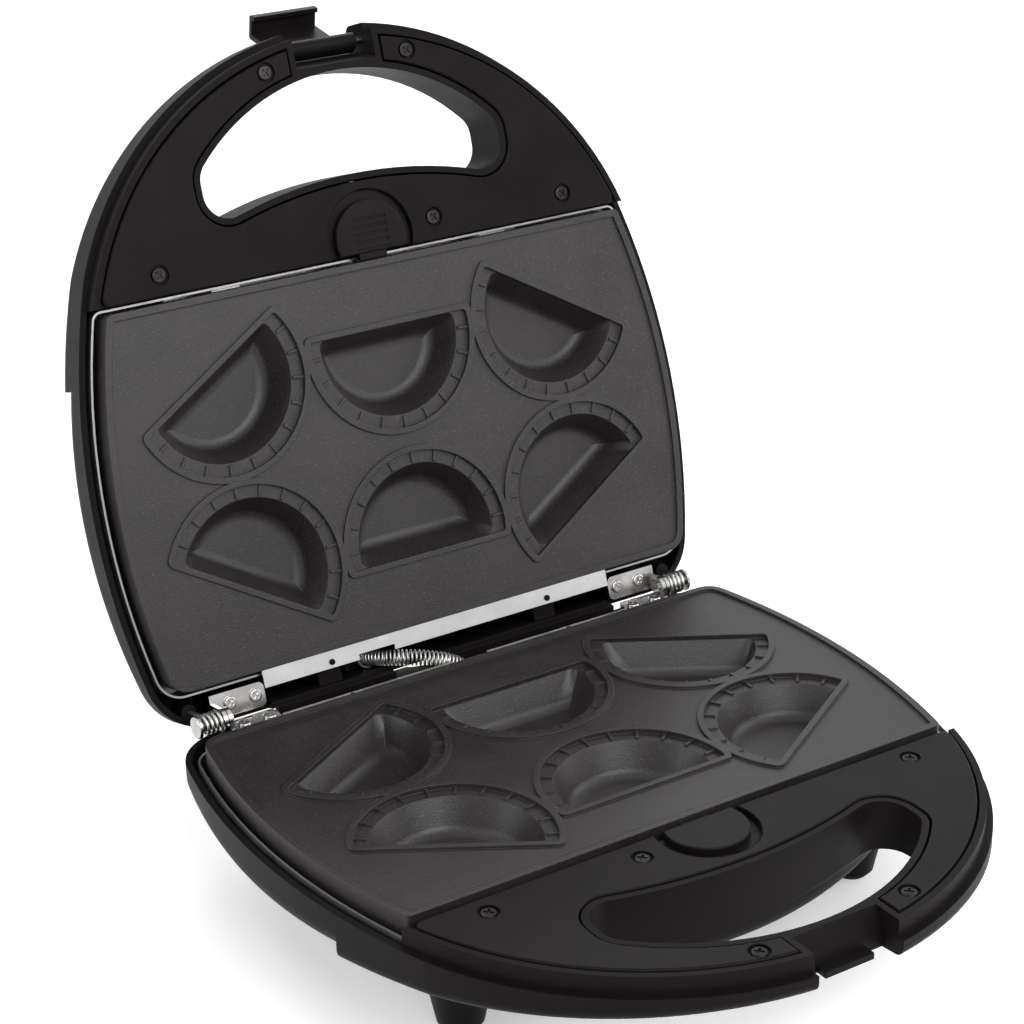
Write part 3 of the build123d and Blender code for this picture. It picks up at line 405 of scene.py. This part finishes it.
def moulded_plastic(name, color, worn_color, low, high, grain, strength, shine=0.5):
    """Plastic or rubber with a moulded grain and softly caught edges."""
    material, tree, shader = new_material(name, color)
    add_marks(tree, shader, PLASTIC_PATCH_SIZE, low, high, color, worn_color)
    height = place_group(tree, grain_group, Size=grain).outputs["Height"]
    add_bump(tree, shader, height, strength, PLASTIC_GRAIN_DEPTH, edge=PLASTIC_EDGE_RADIUS)
    shader.inputs["Specular IOR Level"].default_value = shine
    shader.inputs["Specular Tint"].default_value = PLASTIC_GLINT
    return material


def sprayed_coating():
    """Dark non-stick coating with pale flecks and a fine orange-peel surface."""
    dark = (0.0150, 0.0122, 0.0134)
    worn = (0.0205, 0.0172, 0.0186)
    pale = (0.085, 0.077, 0.080, 1)
    material, tree, shader = new_material("non_stick_coating", dark)
    tone = add_marks(tree, shader, COATING_PATCH_SIZE, 0.36, 0.48, dark, worn)
    flecks = place_group(tree, fleck_group, Size=1100.0, Share=0.34).outputs["Mask"]
    color = blend_colors(tree, combine(tree, "MULTIPLY", flecks, 0.6), tone, pale)
    tree.links.new(color, shader.inputs["Base Color"])
    peel = place_group(tree, grain_group, Size=1300.0).outputs["Height"]
    height = combine(tree, "ADD", peel, combine(tree, "MULTIPLY", flecks, 0.5))
    add_bump(tree, shader, height, 0.45, COATING_PEEL_DEPTH, edge=COATING_EDGE_RADIUS)
    shader.inputs["Specular IOR Level"].default_value = 0.42
    return material


def rolled_metal(name, color, worn_color, low, high, lines, strength):
    """Sheet metal with rolling lines."""
    material, tree, shader = new_material(name, color, metallic=1.0)
    add_marks(tree, shader, ROLLED_PATCH_SIZE, low, high, color, worn_color)
    height = place_group(tree, streak_group, Lines=lines).outputs["Height"]
    add_bump(tree, shader, height, strength, ROLLED_LINE_DEPTH)
    return material


def plated_metal(name, color, worn_color, low, high, grain, strength):
    """Plated or oxidised metal with a fine grain."""
    material, tree, shader = new_material(name, color, metallic=1.0)
    add_marks(tree, shader, PLATED_PATCH_SIZE, low, high, color, worn_color)
    height = place_group(tree, grain_group, Size=grain).outputs["Height"]
    add_bump(tree, shader, height, strength, PLATED_GRAIN_DEPTH)
    return material


def tinted_lens(name, color, deep_color):
    """Glossy coloured plastic of a lamp lens."""
    material, tree, shader = new_material(name, color)
    add_marks(tree, shader, LENS_PATCH_SIZE, 0.08, 0.16, color, deep_color)
    height = place_group(tree, grain_group, Size=800.0).outputs["Height"]
    add_bump(tree, shader, height, 0.05, LENS_GRAIN_DEPTH)
    shader.inputs["Coat Weight"].default_value = 0.6
    return material


def make_materials():
    """Finishes by material slot of the record, and pan_sheet for the two pans."""
    return {
        "housing_plastic": moulded_plastic(
            "housing_gloss_black", (0.0065, 0.0052, 0.0054), (0.0085, 0.0070, 0.0072),
            low=0.44, high=0.54, grain=2600.0, strength=0.05, shine=0.10),
        "cover_plastic": moulded_plastic(
            "cover_satin_black", (0.0070, 0.0056, 0.0062), (0.0100, 0.0083, 0.0090),
            low=0.32, high=0.42, grain=2400.0, strength=0.14, shine=0.10),
        "button_plastic": moulded_plastic(
            "button_satin_black", (0.0075, 0.0060, 0.0066), (0.0110, 0.0092, 0.0098),
            low=0.34, high=0.44, grain=2400.0, strength=0.14, shine=0.12),
        "coating": sprayed_coating(),
        "bright_sheet": rolled_metal(
            "rolled_aluminium", (0.68, 0.67, 0.67), (0.56, 0.55, 0.55),
            low=0.22, high=0.36, lines=2400.0, strength=0.12),
        "pan_sheet": rolled_metal(
            "dulled_aluminium", (0.40, 0.39, 0.39), (0.30, 0.29, 0.28),
            low=0.30, high=0.44, lines=2400.0, strength=0.12),
        "plated_steel": plated_metal(
            "zinc_plate", (0.56, 0.55, 0.54), (0.38, 0.37, 0.36),
            low=0.16, high=0.30, grain=1500.0, strength=0.10),
        "spring_steel": plated_metal(
            "spring_wire", (0.62, 0.61, 0.59), (0.40, 0.39, 0.37),
            low=0.24, high=0.40, grain=1800.0, strength=0.12),
        "black_steel": plated_metal(
            "blackened_steel", (0.020, 0.018, 0.019), (0.040, 0.037, 0.037),
            low=0.26, high=0.42, grain=1500.0, strength=0.12),
        "element_steel": plated_metal(
            "heater_tube", (0.30, 0.28, 0.26), (0.18, 0.16, 0.15),
            low=0.38, high=0.55, grain=1200.0, strength=0.2),
        "inner_plastic": moulded_plastic(
            "natural_nylon", (0.62, 0.60, 0.55), (0.52, 0.49, 0.43),
            low=0.42, high=0.55, grain=1500.0, strength=0.15),
        "rubber": moulded_plastic(
            "foot_rubber", (0.018, 0.018, 0.018), (0.030, 0.029, 0.028),
            low=0.62, high=0.80, grain=1100.0, strength=0.35),
        "red_lens": tinted_lens("red_lens", (0.42, 0.012, 0.010), (0.30, 0.008, 0.007)),
        "green_lens": tinted_lens("green_lens", (0.02, 0.26, 0.05), (0.014, 0.18, 0.035)),
    }


def dress_nodes(materials):
    """Gives each carried-over solid its finish."""
    slots = {entry["node"]: entry["material_slot"] for entry in frame["record"]["subparts"]}
    slots.update({"base_pan": "pan_sheet", "lid_pan": "pan_sheet"})
    for name, node in frame["nodes"].items():
        for slot in node.material_slots:
            slot.link = "OBJECT"
            slot.material = materials[slots[name]]


# Springs and the strip under the conduit
def conduit_line(share):
    """Point and direction on the middle line of the conduit, for a share from 0 to 1."""
    corners = (CONDUIT_BASE_MOUTH, CONDUIT_BASE_MOUTH + Vector((0, 0, CONDUIT_PULL)),
               CONDUIT_LID_MOUTH - CONDUIT_LID_WAY * CONDUIT_PULL, CONDUIT_LID_MOUTH)
    bend = (corners[3] - corners[0]).length * CONDUIT_SLACK
    along = share * (bend + 2 * CONDUIT_INSIDE) - CONDUIT_INSIDE
    if along < 0:
        return corners[0] + Vector((0, 0, along)), Vector((0, 0, 1))
    if along > bend:
        return corners[3] + CONDUIT_LID_WAY * (along - bend), CONDUIT_LID_WAY
    place = along / bend
    rest = 1 - place
    point = (corners[0] * rest ** 3 + corners[1] * 3 * rest ** 2 * place
             + corners[2] * 3 * rest * place ** 2 + corners[3] * place ** 3)
    way = ((corners[1] - corners[0]) * rest ** 2 + (corners[2] - corners[1]) * 2 * rest * place
           + (corners[3] - corners[2]) * place ** 2)
    return point, way.normalized()


def conduit_wire_points():
    """Middle line of the wound wire."""
    steps = CONDUIT_TURNS * CONDUIT_STEPS_PER_TURN
    across = Vector((1, 0.2, 0.1))
    points = []
    for step in range(steps + 1):
        point, way = conduit_line(step / steps)
        side = (across - way * across.dot(way)).normalized()
        turn = 2 * pi * CONDUIT_TURNS * step / steps
        outward = side * cos(turn) + way.cross(side) * sin(turn)
        points.append(point + outward * CONDUIT_COIL_RADIUS)
    return points


def tube_mesh(name, points, radius, sides):
    """Round tube along close points, with closed ends."""
    angles = [2 * pi * number / sides for number in range(sides)]
    rings = []
    side = Vector((0, 0, 1))
    for index, point in enumerate(points):
        way = (points[min(index + 1, len(points) - 1)] - points[max(index - 1, 0)]).normalized()
        side = (side - way * side.dot(way)).normalized()
        other = way.cross(side)
        rings.append([point + (side * cos(angle) + other * sin(angle)) * radius
                      for angle in angles])
    faces = []
    for ring in range(len(rings) - 1):
        for number in range(sides):
            after = (number + 1) % sides
            faces.append((ring * sides + number, ring * sides + after,
                          (ring + 1) * sides + after, (ring + 1) * sides + number))
    last = (len(rings) - 1) * sides
    faces += [tuple(reversed(range(sides))), tuple(range(last, last + sides))]
    mesh = bpy.data.meshes.new(name)
    mesh.from_pydata([corner for ring in rings for corner in ring], [], faces)
    mesh.shade_smooth()
    return mesh


def spring_piece(name, mesh, node):
    """Steel piece that stands for the spring of one node."""
    piece = bpy.data.objects.new(name, mesh)
    bpy.context.scene.collection.objects.link(piece)
    mesh.materials.clear()
    mesh.materials.append(materials["spring_steel"])
    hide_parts(node)
    return piece


def mesh_of_node(node):
    """Copy of a carried-over mesh in the part's own frame."""
    mesh = node.data.copy()
    mesh.transform(node.matrix_world)
    return mesh


def half_of_node(node, side):
    """Copy of a carried-over mesh, kept on the right where side is 1, and on the left for -1."""
    mesh = mesh_of_node(node)
    half = bmesh.new()
    half.from_mesh(mesh)
    far = [corner for corner in half.verts if corner.co.x * side < 0]
    bmesh.ops.delete(half, geom=far, context="VERTS")
    half.to_mesh(mesh)
    half.free()
    return mesh


def conduit_underside(x):
    """Height that the strip may reach under the conduit, at one place along the rear wall."""
    lowest = GROMMET_HIGH[2] + GROMMET_GAP
    for step in range(CONDUIT_SAMPLES + 1):
        point = conduit_line(step / CONDUIT_SAMPLES)[0]
        near_y = min(max(point.y, GROMMET_LOW[1]), GROMMET_HIGH[1])
        spare = CONDUIT_OUTER_RADIUS ** 2 - (point.x - x) ** 2 - (point.y - near_y) ** 2
        if spare > 0:
            lowest = min(lowest, point.z - spare ** 0.5)
    return lowest - GROMMET_GAP


def add_grommet():
    """Rubber strip in the base's rear notch, shaped to the underside of the conduit."""
    front, back = GROMMET_LOW[1], GROMMET_HIGH[1]
    bevel = (back - front) * GROMMET_BEVEL_SHARE
    profile = ((front, 0.0), (front, GROMMET_SHOULDER), (front + bevel, 1.0),
               (back - bevel, 1.0), (back, GROMMET_SHOULDER), (back, 0.0))
    corners = []
    for step in range(GROMMET_STEPS + 1):
        x = GROMMET_LOW[0] + (GROMMET_HIGH[0] - GROMMET_LOW[0]) * step / GROMMET_STEPS
        height = max(conduit_underside(x) - GROMMET_LOW[2], GROMMET_LEAST_HEIGHT)
        corners += [(x, y, GROMMET_LOW[2] + share * height) for y, share in profile]
    count = len(profile)
    faces = []
    for step in range(GROMMET_STEPS):
        for number in range(count):
            after = (number + 1) % count
            faces.append((step * count + number, (step + 1) * count + number,
                          (step + 1) * count + after, step * count + after))
    last = GROMMET_STEPS * count
    faces += [tuple(range(count)), tuple(reversed(range(last, last + count)))]
    mesh = bpy.data.meshes.new("conduit_grommet")
    mesh.from_pydata(corners, [], faces)
    mesh.materials.append(materials["rubber"])
    piece = bpy.data.objects.new("conduit_grommet", mesh)
    bpy.context.scene.collection.objects.link(piece)
    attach(piece, "base")


def add_springs():
    """Conduit spring wound along a bend across the hinge, hinge springs split into right and left
    halves, and button springs copied and attached to their bodies.
    """
    wire = tube_mesh("conduit_coil", conduit_wire_points(), CONDUIT_WIRE_RADIUS, CONDUIT_WIRE_SIDES)
    coil = spring_piece("conduit_coil", wire, "conduit_spring")
    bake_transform(coil)
    node = frame["nodes"]["hinge_springs"]
    for name, side in (("hinge_spring_right", 1), ("hinge_spring_left", -1)):
        piece = spring_piece(name, half_of_node(node, side), "hinge_springs")
        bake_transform(piece)
    for body, joint, axis, seat in BUTTON_SPRINGS:
        name = body + "_button_spring"
        piece = spring_piece(name + "_wire", mesh_of_node(frame["nodes"][name]), name)
        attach(piece, body)
        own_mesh(piece)


bpy.context.scene.view_settings.view_transform = "Standard"
add_camera()
add_studio()
add_world()
add_floor()
materials = make_materials()
dress_nodes(materials)
add_springs()
add_grommet()
